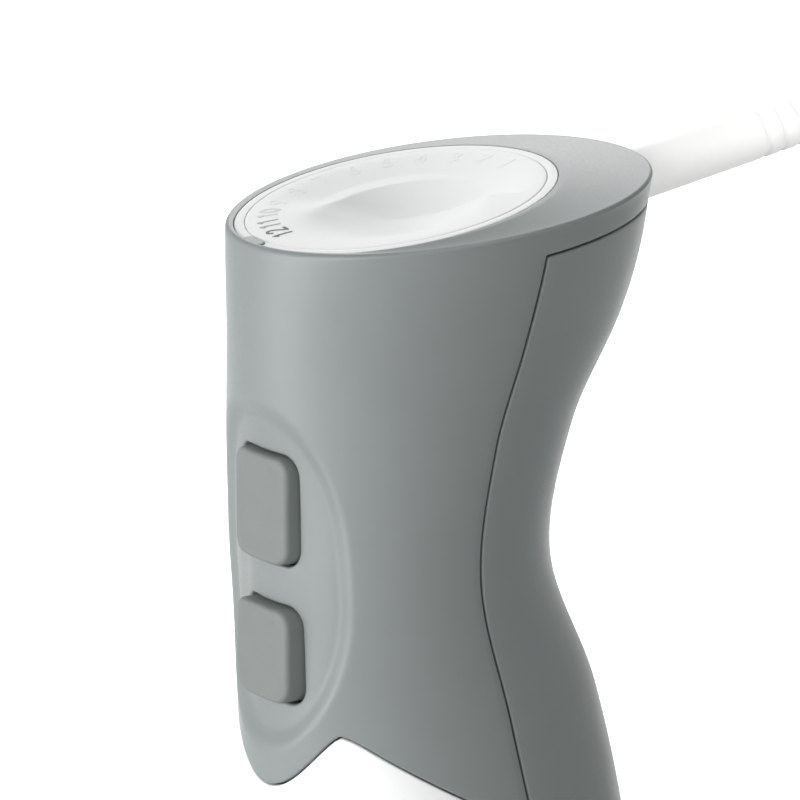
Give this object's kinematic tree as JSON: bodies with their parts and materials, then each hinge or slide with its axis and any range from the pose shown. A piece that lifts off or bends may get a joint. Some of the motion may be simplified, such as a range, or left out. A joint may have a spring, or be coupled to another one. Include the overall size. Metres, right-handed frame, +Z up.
{
  "type": "immersion blender",
  "caption": "Hand blender with a grey and white motor unit, a rotary speed dial on top, push buttons, a mains lead and a click-off steel foot with a bell guard and blade.",
  "frame": {"origin": "on the shaft axis at the bell guard's rim, which the object stands on", "axes": "+Z up the shaft, -Y to the button side, +Y to the side where the lead leaves"},
  "size_m": [0.1422, 0.1744, 0.3967],
  "materials": {
    "grey_shell": "satin soft-touch",
    "white_gloss": "gloss",
    "white_cord": "satin",
    "button_grey": "satin",
    "steel": "brushed",
    "bright_steel": "polished",
    "pin_brass": "nickel plated",
    "black_plastic": "matte",
    "natural_plastic": "matte",
    "board_green": "solder mask",
    "component": "mixed parts",
    "lamination": "stacked sheet",
    "copper_wire": "enamelled copper",
    "bush_bronze": "sintered",
    "carbon": "carbon",
    "alloy": "die-cast",
    "rubber_black": "matte"
  },
  "bodies": {
    "foot": {"foot_collar": "white_gloss", "foot_tube": "steel", "bell_guard": "steel", "upper_foot_bush": "bush_bronze", "lower_foot_bush": "bush_bronze", "shaft_seal": "rubber_black"},
    "blade_drive": {"foot_shaft": "bright_steel", "foot_dog": "black_plastic", "blade_hub": "black_plastic", "blade": "bright_steel"},
    "motor_unit": {"upper_housing": "grey_shell", "rear_grip": "grey_shell", "motor_housing": "white_gloss", "dial_bezel": "white_gloss", "potentiometer": "black_plastic", "dial_board": "board_green", "button_plate": "natural_plastic", "on_spring": "bright_steel", "turbo_spring": "bright_steel", "switches": "black_plastic", "control_board": "board_green", "board_parts": "component", "lead_wires": "component", "strain_relief": "white_cord", "cord_clamp": "black_plastic", "cord_tube": "white_cord", "cord_coil": "white_cord", "cord_tie": "black_plastic", "plug_body": "white_gloss", "plug_pins": "pin_brass", "stator_core": "lamination", "field_coils": "copper_wire", "upper_bracket": "alloy", "upper_bush": "bush_bronze", "lower_bracket": "alloy", "bearing_outer": "bright_steel", "bearing_balls": "bright_steel", "brush_holders": "bush_bronze", "carbon_brushes": "carbon", "brush_springs": "bright_steel", "motor_screws": "bright_steel", "rubber_mount": "rubber_black", "coupling_socket": "natural_plastic", "latch_springs": "bright_steel"},
    "rotor": {"rotor_shaft": "bright_steel", "armature_core": "lamination", "armature_windings": "copper_wire", "commutator": "copper_wire", "cooling_fan": "black_plastic", "bearing_inner": "bright_steel", "drive_coupling": "black_plastic"},
    "dial": {"speed_dial": "white_gloss", "dial_shaft": "black_plastic"},
    "on_button": {"on_button": "button_grey"},
    "turbo_button": {"turbo_button": "button_grey"},
    "release_right": {"release_right": "button_grey", "latch_right": "steel"},
    "release_left": {"release_left": "button_grey", "latch_left": "steel"}
  },
  "joints": [
    {"name": "unit_lift", "type": "slide", "parent": "foot", "child": "motor_unit", "axis": [0, 0, 1], "range_m": [0, 0.03]},
    {"name": "motor_spin", "type": "hinge", "parent": "motor_unit", "child": "rotor", "pos_m": [0, 0, 0.25], "axis": [0, 0, 1], "continuous": true},
    {"name": "blade_spin", "type": "hinge", "parent": "foot", "child": "blade_drive", "pos_m": [0, 0, 0.1], "axis": [0, 0, 1], "continuous": true},
    {"name": "dial_turn", "type": "hinge", "parent": "motor_unit", "child": "dial", "pos_m": [0, -0.0066, 0.38605], "axis": [0, -0.1867, 0.9824], "range_deg": [0, 176]},
    {"name": "on_press", "type": "slide", "parent": "motor_unit", "child": "on_button", "axis": [0, 1, 0], "range_m": [0, 0.0022], "stiffness_N_per_m": 900, "springref_m": -0.001, "deforming": ["on_spring"]},
    {"name": "turbo_press", "type": "slide", "parent": "motor_unit", "child": "turbo_button", "axis": [0, 1, 0], "range_m": [0, 0.0022], "stiffness_N_per_m": 900, "springref_m": -0.001, "deforming": ["turbo_spring"]},
    {"name": "release_right_press", "type": "slide", "parent": "motor_unit", "child": "release_right", "axis": [-1, 0, 0], "range_m": [0, 0.0025], "stiffness_N_per_m": 1200, "springref_m": -0.001, "deforming": ["latch_springs"]},
    {"name": "release_left_press", "type": "slide", "parent": "motor_unit", "child": "release_left", "axis": [1, 0, 0], "range_m": [0, 0.0025], "stiffness_N_per_m": 1200, "springref_m": -0.001, "deforming": ["latch_springs"]}
  ],
  "couplings": [
    {"joint": "blade_spin", "follows": "motor_spin", "ratio": 1}
  ]
}
